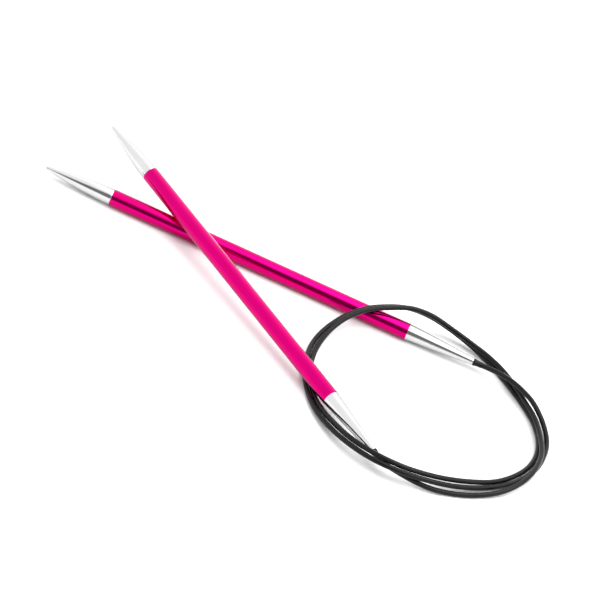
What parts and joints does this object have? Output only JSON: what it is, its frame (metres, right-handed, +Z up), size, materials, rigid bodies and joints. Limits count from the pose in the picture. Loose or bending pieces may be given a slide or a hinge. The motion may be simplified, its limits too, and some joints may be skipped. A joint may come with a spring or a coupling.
{
  "type": "circular knitting needle",
  "caption": "Circular knitting needle: rigid coloured aluminium needles with polished tapered tips, joined by a thin black nylon cable that lies in a loose coil.",
  "frame": {"origin": "centre of the base of the box around the two rigid needles, on the table they lie on; the cable and its end fittings aren't counted in that box", "axes": "+X along the lower needle, from its tip to the end that the cable leaves; +Y level, at right angles to it, on the side of the upper needle's tip; +Z up"},
  "size_m": [0.1641, 0.0867, 0.0111],
  "materials": {
    "polished aluminium": "turned and polished",
    "magenta anodised aluminium": "satin anodised",
    "black nylon": "satin",
    "brass": "turned",
    "spring steel": "plain"
  },
  "bodies": {
    "cable_body": {"cable": "black nylon", "lower_collar": "black nylon", "upper_collar": "black nylon", "lower_swivel_pin": "brass", "upper_swivel_pin": "brass"},
    "lower_needle": {"lower_point": "polished aluminium", "lower_barrel": "magenta anodised aluminium", "lower_ferrule": "polished aluminium", "lower_retaining_washer": "spring steel"},
    "upper_needle": {"upper_point": "polished aluminium", "upper_barrel": "magenta anodised aluminium", "upper_ferrule": "polished aluminium", "upper_retaining_washer": "spring steel"}
  },
  "joints": [
    {"name": "lower_swivel", "type": "hinge", "parent": "cable_body", "child": "lower_needle", "pos_m": [0.0675, 0.0184, 0.00249], "axis": [1, 0, 0], "continuous": true},
    {"name": "upper_swivel", "type": "hinge", "parent": "cable_body", "child": "upper_needle", "pos_m": [0.0515, -0.0403, 0.00325], "axis": [0.7978, -0.6012, -0.0466], "continuous": true}
  ]
}
